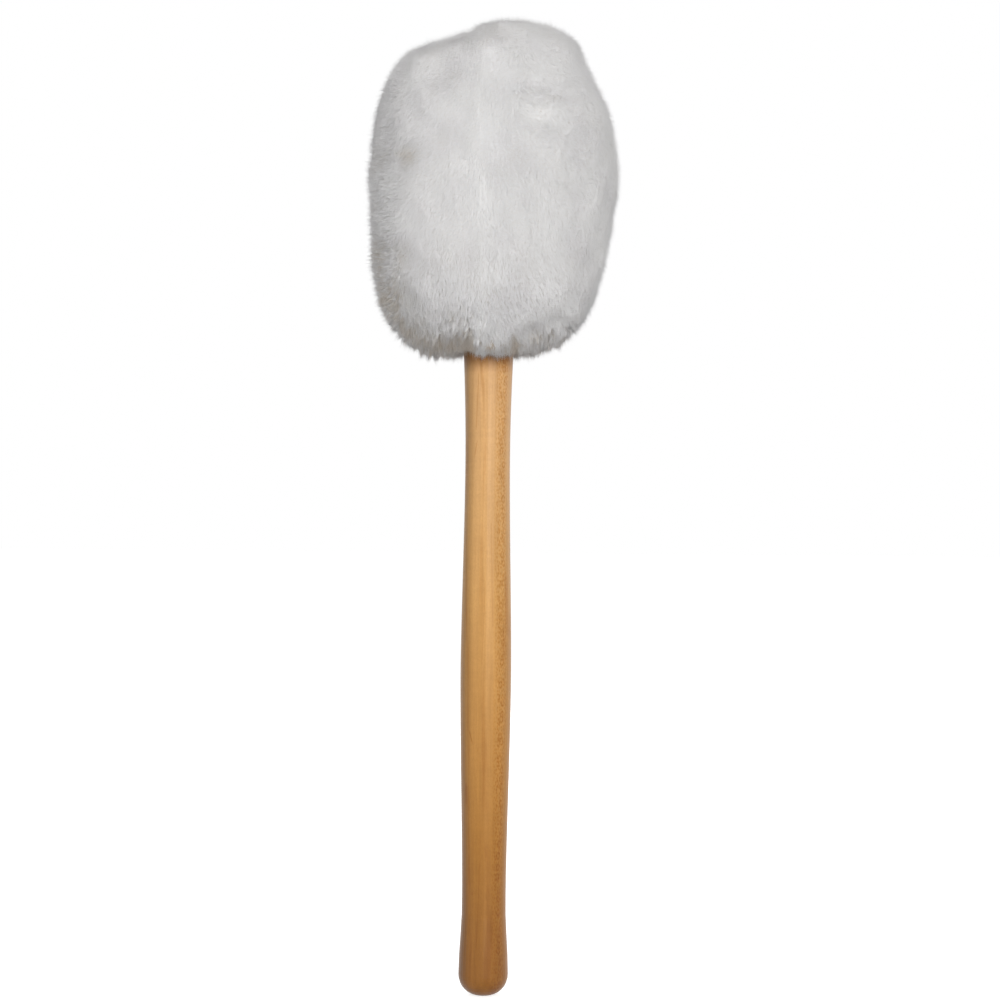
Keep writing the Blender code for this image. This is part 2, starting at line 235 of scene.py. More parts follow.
# Loose ends: fuzz stands out from the outline, and the hem's tufts hang
UNEVEN = (0.00005, 0.0004, 0.00025)  # usual, and what ragged pile and the outline add
OUTLINE_FACING = (0.8, 0.2)
FUZZ_SHARE = (0.03, 0.42)  # usual, and what the outline adds
FUZZ_REACH = 0.0024
FUZZ_POWER = 1.4
FUZZ_WIDTH = 0.50
HANG = 0.0009
HANG_HEIGHTS = (0.272, 0.262)

# Lay of the pile. Where three numbers stand together, they are the usual value and what low
# pile and ruffled pile add to it
PART_WIDTH = 0.012
PART_TURN = 0.28
STIR_TURN = 0.16
COMB = (0.66, 0.10, -0.62)
COMB_CHANGE = 0.12
LAY_SPREAD = 0.10
LEAN_LEAST = 0.3

# Shading of the strands: how far wisps and strands turn, and how round each strand shades
WISP_TURN = (0.012, 0.32, 0.22)
STRAND_TURN = 0.02
ROUNDNESS = (0.33, 0.32, 0.45)

# Tint, from 0, warm and dark, past 0.5, the usual white, to 1, the lightest
USUAL_TINT = 0.5
# Painted highlight along the ridge, whose strands catch the light
RIDGE_HIGHLIGHT = 0.24
TINT_CHANGE = 0.06
STRAND_TINT = 0.02
WISP_TINT = (0.0, 0.34, 0.30)
# Painted shade that darkens strands away from their tuft's middle, in the gaps between low tufts
APART_SHADE = 0.16
APART = (0.0006, 0.0022)  # distances from a tuft's middle where its strands darken
MAP_EDGE = 0.02  # the map keeps this far inside its square
# Most patches are painted light and shade, noted one by one below; the rest are the pile's own tone
# Tinted patches: sideways, up, half-width, half-height, and how far towards dark or light
TINTS_AND_PAINTED_LIGHT = (
    (-0.0330, 0.3380, 0.0060, 0.0060, -0.30),
    (-0.0385, 0.3395, 0.0040, 0.0030, -0.16),
    # painted shade in the groove down the right
    (0.0364, 0.3350, 0.0042, 0.0420, -0.14),
    # painted shade in the hollow at the upper left
    (-0.0154, 0.3740, 0.0110, 0.0080, -0.14),
    # painted highlight on the puff
    (0.0190, 0.3545, 0.0068, 0.0044, 0.50),
    # painted shadow in the crease above the puff, here and in the next line
    (0.0150, 0.3635, 0.0080, 0.0013, -0.24),
    (0.0275, 0.3612, 0.0080, 0.0013, -0.20),
    # painted shade down the lower left
    (-0.0440, 0.2950, 0.0100, 0.0240, -0.12),
    # painted shade under the hem at the left
    (-0.0290, 0.2670, 0.0140, 0.0070, -0.30),
    # painted shadow under the hem beside the handle
    (-0.0140, 0.2600, 0.0080, 0.0050, -0.48),
    # painted shadow in the gap low at the right
    (0.0200, 0.2670, 0.0050, 0.0035, -0.24),
    (0.0020, 0.2640, 0.0090, 0.0060, 0.30),
    (0.0300, 0.2740, 0.0110, 0.0090, 0.20),
    (-0.0172, 0.3455, 0.0090, 0.0130, -0.14),
    (-0.0060, 0.2745, 0.0060, 0.0050, -0.14),
    # painted shadow in the hem's gaps at the handle, here and in the next line
    (-0.0084, 0.2622, 0.0030, 0.0032, -0.45),
    (0.0070, 0.2620, 0.0030, 0.0022, -0.35),
    (0.0060, 0.3330, 0.0070, 0.0070, -0.10),
    # painted shade at the lower left
    (-0.0330, 0.2860, 0.0080, 0.0110, -0.16),
    (-0.0425, 0.3190, 0.0060, 0.0090, 0.18),
    # painted shade round the puff's lower rim, here and in the next line
    (0.0116, 0.3520, 0.0016, 0.0030, -0.14),
    (0.0178, 0.3484, 0.0050, 0.0010, -0.18),
)

# Plush: its shader, its colour over the tint, and its shade from the root to the tip
FUR_SHADER = {
    "Roughness": 0.75,
    "Specular IOR Level": 0.25,
    "Sheen Weight": 0.1,
    "Sheen Roughness": 0.6,
}
FUR_TONES = (
    (0.0, (0.66, 0.605, 0.54)),
    (0.2, (0.78, 0.773, 0.765)),
    (0.36, (0.835, 0.83, 0.838)),
    (0.5, (0.875, 0.874, 0.875)),
    (1.0, (0.955, 0.955, 0.955)),
)
FUR_SHADES = (
    (0.0, (0.62, 0.54, 0.44)),
    (0.4, (0.93, 0.91, 0.885)),
    (0.75, (0.985, 0.98, 0.975)),
    (1.0, (1.0, 1.0, 1.0)),
)
# Pelt: its shader, its colour over the height, which darkens low down as painted shade between the
# tufts, its grain, and the heights
PELT_SHADER = {"Roughness": 0.9, "Specular IOR Level": 0.1}
PELT_TONES_AND_SHADE = (
    (0.0, (0.46, 0.38, 0.29)),
    (0.3, (0.70, 0.64, 0.57)),
    (1.0, (0.88, 0.88, 0.885)),
)
PELT_GRAIN = ((0.3, (0.94, 0.94, 0.94)), (0.7, (1.0, 1.0, 1.0)))
PELT_GRAIN_SCALE = 900
PELT_BOTTOM = 0.258
PELT_HEIGHT = 0.050

# Handle's wood. Its radius turns the angle round it into a length, 0 in front and more to the right
HANDLE_RADIUS = 0.0098
WOOD_TOP = 0.26
WOOD_SHADER = {
    "Roughness": 0.40,
    "Specular IOR Level": 0.20,
    "Coat Weight": 0.08,
    "Coat Roughness": 0.30,
}
# Tones up the handle, darker towards the butt partly as its own tone and partly as painted shade;
# the last stop is a painted shadow under the head's hem
WOOD_TONES_AND_SHADE = (
    (0.00, (0.285, 0.117, 0.022)),
    (0.10, (0.310, 0.131, 0.024)),
    (0.24, (0.372, 0.166, 0.032)),
    (0.43, (0.480, 0.238, 0.062)),
    (0.63, (0.585, 0.316, 0.102)),
    (0.82, (0.602, 0.342, 0.134)),
    (0.98, (0.606, 0.352, 0.152)),
    (1.00, (0.340, 0.165, 0.055)),
)
# Grains laid over the tones: scale, detail, scale along the handle, and where the dark and the
# light tone lie. The last one, the fibres, is felt as relief too
GRAINS = (
    (130, 3.0, 0.07, (0.30, (0.90, 0.885, 0.86)), (0.70, (1.07, 1.075, 1.08))),
    (520, 4.0, 0.05, (0.30, (0.93, 0.915, 0.89)), (0.70, (1.04, 1.045, 1.05))),
    (150, 2.0, 2.6, (0.30, (0.97, 0.965, 0.96)), (0.70, (1.02, 1.02, 1.02))),
    (1500, 2.0, 0.7, (0.35, (0.97, 0.96, 0.95)), (0.65, (1.03, 1.03, 1.03))),
    (1700, 3.0, 0.03, (0.30, (0.955, 0.945, 0.93)), (0.70, (1.02, 1.02, 1.03))),
)
GRAIN_ROUGHNESS = 0.55
FIBRE_RELIEF = 0.00003
# Growth lines: rings round an axis that leans and stands off the handle's, broken up by a noise
RINGS = {
    "Scale": 46.0,
    "Distortion": 5.0,
    "Detail": 4.0,
    "Detail_Scale": 1.4,
    "Detail_Roughness": 0.6,
}
RINGS_ALONG = 0.10
RINGS_LEAN = (math.radians(5), math.radians(8), 0.0)
RINGS_PLACE = (0.034, -0.016, 0.0)
RINGS_LIMITS = (0.86, 1.0)
BREAKS_SCALE = 120
BREAKS_ALONG = 0.3
BREAKS_LIMITS = (0.42, 0.62)
LINE_STRENGTH = 0.55
LINE_TONE = (0.76, 0.62, 0.42)
# Strokes darker than the wood: place round it, low and high end, half-width, lean and depth
MARKS = (
    (-0.0046, 0.2310, 0.2560, 0.00040, 0.06, 0.60),
    (-0.0054, 0.2200, 0.2275, 0.00035, 0.20, 0.70),
    (-0.0060, 0.1030, 0.1100, 0.00045, -0.30, 0.85),
    (-0.0030, 0.1000, 0.1025, 0.00050, 0.00, 0.60),
    (-0.0088, 0.0780, 0.0880, 0.00120, 0.02, 0.75),
    (-0.0052, 0.0415, 0.0435, 0.00070, 0.00, 1.00),
    (-0.0010, 0.1350, 0.1700, 0.00030, 0.03, 0.45),
    (0.0022, 0.1500, 0.1950, 0.00035, -0.02, 0.40),
    (-0.0025, 0.0200, 0.0560, 0.00035, 0.03, 0.40),
)
MARK_ENDS = 0.004  # length over which a stroke's two ends come up
# Ray flecks, on the sides that face along the rays: cell's width and height, tone, strength,
# half-width of the streak they keep to, and stops of the fleck from the middle of its cell
FLECK_SIDES = (0.0067, -0.0240)
FLECKS = (
    ((0.0030, 0.0046), (0.80, 0.65, 0.42), 0.75, 0.0022, ((0.14, 0.15), (0.27, 1.0), (0.40, 0.0))),
    ((0.0009, 0.0016), (0.84, 0.70, 0.48), 0.80, 0.0040, ((0.15, 1.0), (0.45, 0.0))),
    ((0.0031, 0.0050), (1.16, 1.18, 1.22), 0.60, 0.0030, ((0.30, 0.0), (0.44, 1.0), (0.60, 0.0))),
)
FLECK_RANDOMNESS = 0.8
# Painted shade down the handle's left side: where it starts round the handle, where it is full, and
# its tone
LEFT_SHADE_START = -0.0050
LEFT_SHADE_WIDTH = 0.0055
PAINTED_LEFT_SHADE = (0.64, 0.63, 0.57)

# Plain materials: dark and light tone, grain's scale, roughness, metallic, relief, scale along Z
PLAIN = {
    "core_hardwood": ((0.42, 0.25, 0.13), (0.58, 0.38, 0.22), 300, 0.60, 0.0, 0.0001, 0.1),
    "zinc_steel": ((0.50, 0.50, 0.52), (0.62, 0.62, 0.64), 1200, 0.35, 1.0, 0.00002, 1.0),
    "wool_felt": ((0.50, 0.49, 0.46), (0.64, 0.63, 0.60), 1500, 0.95, 0.0, 0.0003, 1.0),
    "wool_batting": ((0.66, 0.64, 0.60), (0.80, 0.78, 0.74), 700, 0.95, 0.0, 0.0005, 1.0),
    "cotton_cord": ((0.58, 0.56, 0.50), (0.78, 0.76, 0.70), 2500, 0.85, 0.0, 0.0002, 1.0),
}
FINISHES = {
    "core_block": "core_hardwood",
    "core_washer": "zinc_steel",
    "core_screw": "zinc_steel",
    "felt_inner_wrap": "wool_felt",
    "felt_outer_wrap": "wool_felt",
    "felt_top_disc": "wool_felt",
    "felt_bottom_disc": "wool_felt",
    "padding_sock": "wool_batting",
    "neck_cord": "cotton_cord",
}


# Numbers on the head's surface


class Head(NamedTuple):
    """The head's surface, as grids of sides and rows from the crown to the neck."""

    outer: np.ndarray  # places of the pile's outer side
    inner: np.ndarray  # places of the hollow's side, over the padding
    normals: np.ndarray  # outward ways on the outer side
    depths: np.ndarray  # how far the pile's tips stand over the pelt


def noise(places, kind):
    """Smooth noise of about unit strength at places, from plane waves of about one size."""
    size, seed = NOISES[kind]
    rng = np.random.default_rng(seed)
    ways = rng.normal(size=(NOISE_WAVES, 3))
    ways /= np.linalg.norm(ways, axis=1)[:, None]
    ways *= (2 * math.pi / size) * rng.uniform(*NOISE_SHARES, size=(NOISE_WAVES, 1))
    phases = rng.uniform(0, 2 * math.pi, NOISE_WAVES)
    waves = np.cos(places.reshape(-1, 3) @ ways.T + phases)
    return (waves.sum(axis=1) / math.sqrt(NOISE_WAVES / 2)).reshape(places.shape[:-1])


def ramp(values, low, high):
    """0 at low and 1 at high, with soft ends."""
    t = np.clip((values - low) / (high - low), 0.0, 1.0)
    return t * t * (3 - 2 * t)


def varied(shares, first, second):
    """A usual value with what each of two states adds to it."""
    usual, by_first, by_second = shares
    return usual + by_first * first + by_second * second


def unit(vectors):
    """Vectors of length one."""
    return vectors / np.maximum(np.linalg.norm(vectors, axis=-1, keepdims=True), 1e-12)


def in_front(places):
    """0 behind the head's middle and 1 on its front."""
    return ramp(-places[..., 1], 0.0, FRONT_DEPTH)


def panel_tree():
    """The fur panels' solids, as one tree to cast rays at."""
    verts, faces = [], []
    for name in ("fur_panel_left", "fur_panel_right"):
        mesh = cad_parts[name].data
        first = len(verts)
        verts.extend(v.co.copy() for v in mesh.vertices)
        faces.extend([first + i for i in p.vertices] for p in mesh.polygons)
    return BVHTree.FromPolygons(verts, faces)


def ray_lengths(angles, polar):
    """How far the cover's outer and inner side lie from the head's middle, as (sides, steps)."""
    tree = panel_tree()
    middle = Vector((0.0, 0.0, HEAD_MIDDLE))
    outer = np.zeros((len(angles), len(polar)))
    inner = np.zeros_like(outer)
    for i, angle in enumerate(angles):
        for j, tilt in enumerate(polar):
            level = math.sin(tilt)
            way = Vector((level * math.cos(angle), level * math.sin(angle), math.cos(tilt)))
            hit = tree.ray_cast(middle + way * RAY_LENGTH, -way, RAY_LENGTH)
            outer[i, j] = RAY_LENGTH - hit[3] if hit[0] else 0.0
            hit = tree.ray_cast(middle, way, RAY_LENGTH)
            inner[i, j] = hit[3] if hit[0] else 0.0
    return outer, inner


def smoothed(grid, around, along):
    """Evens out a grid of lengths by so many passes round the head and from row to row."""
    for _ in range(around):
        grid = grid / 2 + (np.roll(grid, 1, axis=0) + np.roll(grid, -1, axis=0)) / 4
    grid = grid.copy()
    for _ in range(along):
        grid[:, 1:-1] = grid[:, 1:-1] / 2 + (grid[:, :-2] + grid[:, 2:]) / 4
    return grid


def evened(lengths, polar):
    """Evens out the solids' facets and the seam's gap, and most of all round the crown."""
    turned = [np.roll(lengths, k, axis=0) for k in (-2, -1, 0, 1, 2)]
    lengths = smoothed(np.where(lengths > 0, np.median(turned, axis=0), 0.0), *EVEN_PASSES)
    crown = ramp(polar, *CROWN_ANGLES)
    lengths = lengths * (1 - crown) + smoothed(lengths, CROWN_PASSES, 0) * crown
    mean = lengths.mean(axis=0)
    lengths = mean + (lengths - mean) * ramp(polar, 0.0, POLE_ANGLE)
    return smoothed(lengths, 0, POLE_PASSES) * crown + lengths * (1 - crown)


def rings_of(lengths, angles, polar):
    """Places in evenly spaced rows from the crown to the neck, as (sides, rows, 3)."""
    made = np.zeros((len(angles), HEAD_ROWS, 3))
    for i, angle in enumerate(angles):
        across = lengths[i] * np.sin(polar)
        up = HEAD_MIDDLE + lengths[i] * np.cos(polar)
        ended = (up < HEAD_MIDDLE) & ((across < NECK_RADIUS) | (lengths[i] < NECK_REACH))
        last = int(np.argmax(ended)) if ended.any() else len(polar)
        across, up = across[:last], up[:last]
        run = np.concatenate(([0.0], np.cumsum(np.hypot(np.diff(across), np.diff(up)))))
        at = np.linspace(0.0, run[-1], HEAD_ROWS)
        across, up = np.interp(at, run, across), np.interp(at, run, up)
        made[i] = np.stack([across * math.cos(angle), across * math.sin(angle), up], axis=1)
    return made


def head_rings():
    """Outer and inner side of the cover, as rings of rows from the crown to the neck."""
    angles = np.arange(HEAD_SIDES) * 2 * math.pi / HEAD_SIDES
    polar = np.linspace(0.0, POLAR_END, POLAR_STEPS)
    outer, inner = ray_lengths(angles, polar)
    return rings_of(evened(outer, polar), angles, polar), rings_of(inner, angles, polar)


def ridge_at(height):
    """Where across the front the ridge over the seam runs at a height."""
    line = np.array(RIDGE_LINE)
    return np.interp(height, line[:, 1], line[:, 0])


def on_ridge(places):
    """1 on the ridge over the front seam, falling off to its sides."""
    aside = (places[..., 0] - ridge_at(places[..., 2])) / RIDGE_WIDTH
    return np.exp(-(aside**2)) * in_front(places)


def spot(places, across, up, wide, tall):
    """1 in the middle of a patch on the front, falling off softly round it."""
    reach = ((places[..., 0] - across) / wide) ** 2 + ((places[..., 2] - up) / tall) ** 2
    return np.exp(-reach) * in_front(places)


def relief(places):
    """How far the pile swells out or sinks in at places of the surface."""
    rise = PUFF_RISE * noise(places, "puffs")
    rise = rise + RIDGE_RISE * on_ridge(places)
    for across, up, out, wide, tall in SWELLS:
        rise = rise + out * spot(places, across, up, wide, tall)
    return rise


def crowned(places):
    """Places of the surface with the crown's lifts added."""
    across, up = np.array(CROWN_LIFTS).T
    middle = np.exp(-((places[..., 1] / CROWN_REACH) ** 2))
    top = ramp(places[..., 2], *CROWN_HEIGHTS) * middle
    lifted = places.copy()
    lifted[..., 2] += top * np.interp(places[..., 0], across, up)
    return lifted


def in_gap(places):
    """1 in the middle of a gap of the hem in front of the handle, falling off round it."""
    gap = sum(np.exp(-(((places[..., 0] - across) / wide) ** 2)) for across, wide in HEM_GAPS)
    return gap * ramp(-places[..., 1], *GAP_FORWARD) * ramp(places[..., 2], *GAP_HEIGHTS)


def lowness(places):
    """0 over the smooth upper pile, 1 low down where it hangs in tufts. Its limit wanders."""
    below = LOW_START - places[..., 2] - LOW_WANDER * noise(places, "limit")
    return np.clip(below / LOW_HEIGHT, 0.0, 1.0) ** LOW_POWER


def ruffled(places):
    """0 over the smooth front, 1 at the left edge, less near the crown and in patches behind."""
    across, forward, up = places[..., 0], places[..., 1], places[..., 2]
    edge = ramp(across, *EDGE_ACROSS) * ramp(forward, *EDGE_FORWARD)
    edge = edge * (1 - EDGE_EASE * ramp(up, *EDGE_TOP))
    behind = ramp(forward, *BEHIND_FORWARD) * ramp(up, *BEHIND_HEIGHTS)
    patches = ramp(noise(places, "patches"), *PATCH_LIMITS)
    return np.maximum(edge, PATCH_SHARE * behind * patches)


def tint_of(places):
    """Tint of the pile from patch to patch, with the ridge's painted highlight and the patches'
    painted light and shade.
    """
    tint = USUAL_TINT + RIDGE_HIGHLIGHT * on_ridge(places)
    for across, up, wide, tall, change in TINTS_AND_PAINTED_LIGHT:
        tint = tint + change * spot(places, across, up, wide, tall)
    return tint


def normals_of(grid):
    """Outward normals of a grid of rings."""
    around = np.roll(grid, -1, axis=0) - np.roll(grid, 1, axis=0)
    along = np.gradient(grid, axis=1)
    found = unit(np.cross(along, around))
    found[:, 0] = unit(found[:, 1].mean(axis=0))
    return found


def pelt_depths(outer, inner):
    """How far the pile's tips stand over the pelt, less where the padding leaves little room."""
    low = lowness(outer) * (DEPTH_LOW - DEPTH_TOP)
    left = ruffled(outer) * (DEPTH_LEFT - DEPTH_TOP)
    room = np.linalg.norm(outer - inner, axis=2)
    return np.minimum(DEPTH_TOP + np.maximum(low, left), room * ROOM_SHARE)


def head_surface():
    """The head's surface, evened out, with its relief and its crown."""
    outer, inner = head_rings()
    outer = crowned(outer + normals_of(outer) * relief(outer)[:, :, None])
    return Head(outer, inner, normals_of(outer), pelt_depths(outer, inner))


def sample(grid, side, row):
    """Values of a grid at fractional sides and rows."""
    i, j = np.floor(side).astype(int), np.floor(row).astype(int)
    j = np.clip(j, 0, grid.shape[1] - 2)
    fi, fj = (side - i)[:, None], (row - j)[:, None]
    i0, i1 = i % grid.shape[0], (i + 1) % grid.shape[0]
    upper = grid[i0, j] * (1 - fi) + grid[i1, j] * fi
    lower = grid[i0, j + 1] * (1 - fi) + grid[i1, j + 1] * fi
    return upper * (1 - fj) + lower * fj


def scatter(outer, count, rng):
    """Sides and rows of points spread evenly over the head's surface."""
    around = np.linalg.norm(np.roll(outer, -1, axis=0) - outer, axis=2)
    along = np.linalg.norm(np.diff(outer, axis=1), axis=2)
    areas = (around[:, :-1] + around[:, 1:]) / 2 * along
    total = np.cumsum(areas.ravel())
    picks = (np.arange(count) + rng.random(count)) / count * total[-1]
    cells = np.searchsorted(total, picks)
    side, row = np.divmod(np.minimum(cells, total.size - 1), areas.shape[1])
    return side + rng.random(count), row + rng.random(count)


def spread(head, count, rng):
    """Sides and rows of points spread over the head, their places and their outward ways."""
    at = scatter(head.outer, count, rng)
    return at, sample(head.outer, *at), unit(sample(head.normals, *at))


def nearest(points, centres):
    """Which of the centres is nearest to each point."""
    tree = KDTree(len(centres))
    for i, centre in enumerate(centres):
        tree.insert(centre, i)
    tree.balance()
    return np.fromiter((tree.find(p)[1] for p in points), int, len(points))


# Meshes of the pelt and the pile


def link(obj):
    """Puts an object in the scene."""
    bpy.context.scene.collection.objects.link(obj)
    return obj


def mesh_from_arrays(name, verts, corners, sizes, uv=None, facing=None):
    """A mesh from arrays: places, the corners' vertices, and how many corners each face has."""
    mesh = bpy.data.meshes.new(name)
    mesh.vertices.add(len(verts))
    mesh.vertices.foreach_set("co", verts.astype(np.float32).ravel())
    mesh.loops.add(len(corners))
    mesh.loops.foreach_set("vertex_index", corners.astype(np.int32))
    mesh.polygons.add(len(sizes))
    starts = np.concatenate(([0], np.cumsum(sizes)[:-1]))
    mesh.polygons.foreach_set("loop_start", starts.astype(np.int32))
    mesh.polygons.foreach_set("loop_total", sizes.astype(np.int32))
    mesh.polygons.foreach_set("use_smooth", np.ones(len(sizes), bool))
    if uv is not None:
        layer = mesh.uv_layers.new(name="OFBake")
        layer.uv.foreach_set("vector", uv[corners].astype(np.float32).ravel())
    if facing is not None:
        layer = mesh.attributes.new("custom_normal", "FLOAT_VECTOR", "POINT")
        layer.data.foreach_set("vector", facing.astype(np.float32).ravel())
    mesh.update(calc_edges=True)
    return mesh


def build_pelt(head, material):
    """The cover's base under the pile: a closed skin from the crown to the hem and back inside."""
    hem = ramp(head.outer[:, :, 2], *PELT_HEM)
    depth = head.depths * (PELT_HEM_SHARE + (1 - PELT_HEM_SHARE) * hem)
    outside = head.outer - head.normals * depth[:, :, None]
    inside = head.inner + normals_of(head.inner) * PELT_CLEARANCE
    skin = np.concatenate([outside[:, 1:], inside[:, :0:-1]], axis=1)
    sides, rows = skin.shape[:2]
    verts = np.concatenate([skin.reshape(-1, 3), outside[:1, 0], inside[:1, 0]])
    ring = np.arange(sides)
    after = (ring + 1) % sides
    i, j = ring[:, None], np.arange(rows - 1)[None, :]
    beside = after[:, None]
    quads = np.stack(
        [i * rows + j, i * rows + j + 1, beside * rows + j + 1, beside * rows + j], axis=-1
    )
    crown, under = sides * rows, sides * rows + 1
    last = rows - 1
    top = np.stack([np.full(sides, crown), ring * rows, after * rows], axis=1)
    bottom = np.stack([np.full(sides, under), after * rows + last, ring * rows + last], axis=1)
    corners = np.concatenate([quads.ravel(), top.ravel(), bottom.ravel()])
    sizes = np.concatenate([np.full(sides * last, 4), np.full(2 * sides, 3)])
    mesh = mesh_from_arrays("pelt", verts, corners, sizes)
    mesh.materials.append(material)
    return link(bpy.data.objects.new("pelt", mesh))


def strand_arrays(points, width, side, tint, facing, roundness):
    """Vertices, corners, face sizes, map and normals of three-sided strands through rows of points.

    A strand shades as a round hair as far as its roundness, and else as the surface it stands on.
    """
    roundness = roundness[:, None]
    count, steps = points.shape[:2]
    rings = steps - 1
    ahead = unit(points[:, -1] - points[:, 0])
    over = np.cross(ahead, side)
    verts = np.empty((count, 3 * rings + 1, 3))
    shading = np.repeat(facing[:, None], 3 * rings + 1, axis=1)
    for corner in range(3):
        turn = 2 * math.pi * corner / 3
        out = side * math.cos(turn) + over * math.sin(turn)
        for ring in range(rings):
            reach = width * TAPER[ring] / math.sqrt(3)
            verts[:, 3 * ring + corner] = points[:, ring] + out * reach[:, None]
            shading[:, 3 * ring + corner] = unit(facing * (1 - roundness) + out * roundness)
    verts[:, -1] = points[:, -1]
    along = np.append(np.repeat(np.arange(rings) / rings, 3), 1.0)
    uv = np.empty((count, 3 * rings + 1, 2))
    uv[:, :, 0] = tint[:, None]
    uv[:, :, 1] = MAP_EDGE + (1 - 2 * MAP_EDGE) * along
    pattern, sizes = [], []
    for corner in range(3):
        after = (corner + 1) % 3
        for ring in range(rings - 1):
            first = 3 * ring
            pattern += [first + corner, first + after, first + 3 + after, first + 3 + corner]
            sizes.append(4)
        first = 3 * (rings - 1)
        pattern += [first + corner, first + after, 3 * rings]
        sizes.append(3)
    corners = np.arange(count)[:, None] * (3 * rings + 1) + np.array(pattern)[None, :]
    return (
        verts.reshape(-1, 3),
        corners.ravel(),
        np.tile(sizes, count),
        uv.reshape(-1, 2),
        shading.reshape(-1, 3),
    )


def lay_of(places, outward, low, ruffle):
    """Way the pile lies at places of the surface: outwards, combed down and stirred in patches."""
    down = np.array([0.0, 0.0, -1.0])
    along = down - outward * (outward @ down)[:, None]
    around = np.cross(outward, along)
    aside = (places[:, 0] - ridge_at(places[:, 2])) / PART_WIDTH
    parted = PART_TURN * np.tanh(aside) * in_front(places)
    stir = STIR_TURN * noise(places, "stir") + parted
    comb = varied(COMB, low, ruffle) + COMB_CHANGE * noise(places, "comb")
    return unit(outward + along * comb[:, None] + around * stir[:, None])


def wisp_aims(wisps, tufts, tuft_out, tuft_of_wisp, rng):
    """Where the tips of the wisps gather: at their tufts where the pile is ragged."""
    ragged = np.maximum(lowness(wisps), WISPS_RUFFLED * ruffled(wisps))
    pull = WISP_PULL * ragged * rng.uniform(*WISP_PULLS, len(wisps))
    rise = rng.normal(size=len(tufts)) * TUFT_RISE * lowness(tufts)
    goals = tufts + tuft_out * rise[:, None] + rng.normal(size=tufts.shape) * TUFT_SPREAD
    aims = wisps + (goals[tuft_of_wisp] - wisps) * pull[:, None]
    return aims + rng.normal(size=wisps.shape) * (WISP_SPREAD * ragged)[:, None]


def gathered(tips, outward, goals, ragged, outline, rng):
    """Tips of the strands, gathered into their wisps and sunk unevenly into the pile."""
    gather = (GATHER[0] + GATHER[1] * ragged) * rng.uniform(*GATHERS, len(tips))
    aims = tips + (goals - tips) * np.minimum(gather, GATHER_MOST)[:, None]
    uneven = varied(UNEVEN, ragged, outline)
    return aims + outward * (rng.normal(size=len(tips)) * uneven - TIP_DEPTH)[:, None]


def strand_lines(tips, outward, aims, lay, depth, rng):
    """Root, knee and tip of each strand. It leaves its root along its lay."""
    own = unit(lay + rng.normal(size=tips.shape) * LAY_SPREAD)
    lean = np.maximum((own * outward).sum(axis=1), LEAN_LEAST)
    deep = depth + np.minimum(ROOT_DEPTH, ROOT_SHARE * depth)
    length = (deep / lean * rng.uniform(*LENGTHS, len(tips)))[:, None]
    roots = tips - own * length
    knees = roots + (own * KNEE_LAY + outward * KNEE_LAY) * length
    knees = knees * (1 - KNEE_AIM) + aims * KNEE_AIM
    return np.stack([roots, knees, aims], axis=1)


def parts_of(tips):
    """Masks that share the strands out among pieces: bands of height on each panel."""
    left = tips[:, 0] < SEAM
    for panel in (left, ~left):
        levels = np.quantile(tips[panel, 2], np.arange(1, BANDS) / BANDS)
        band = np.digitize(tips[:, 2], levels)
        for level in range(BANDS):
            yield panel & (band == level)


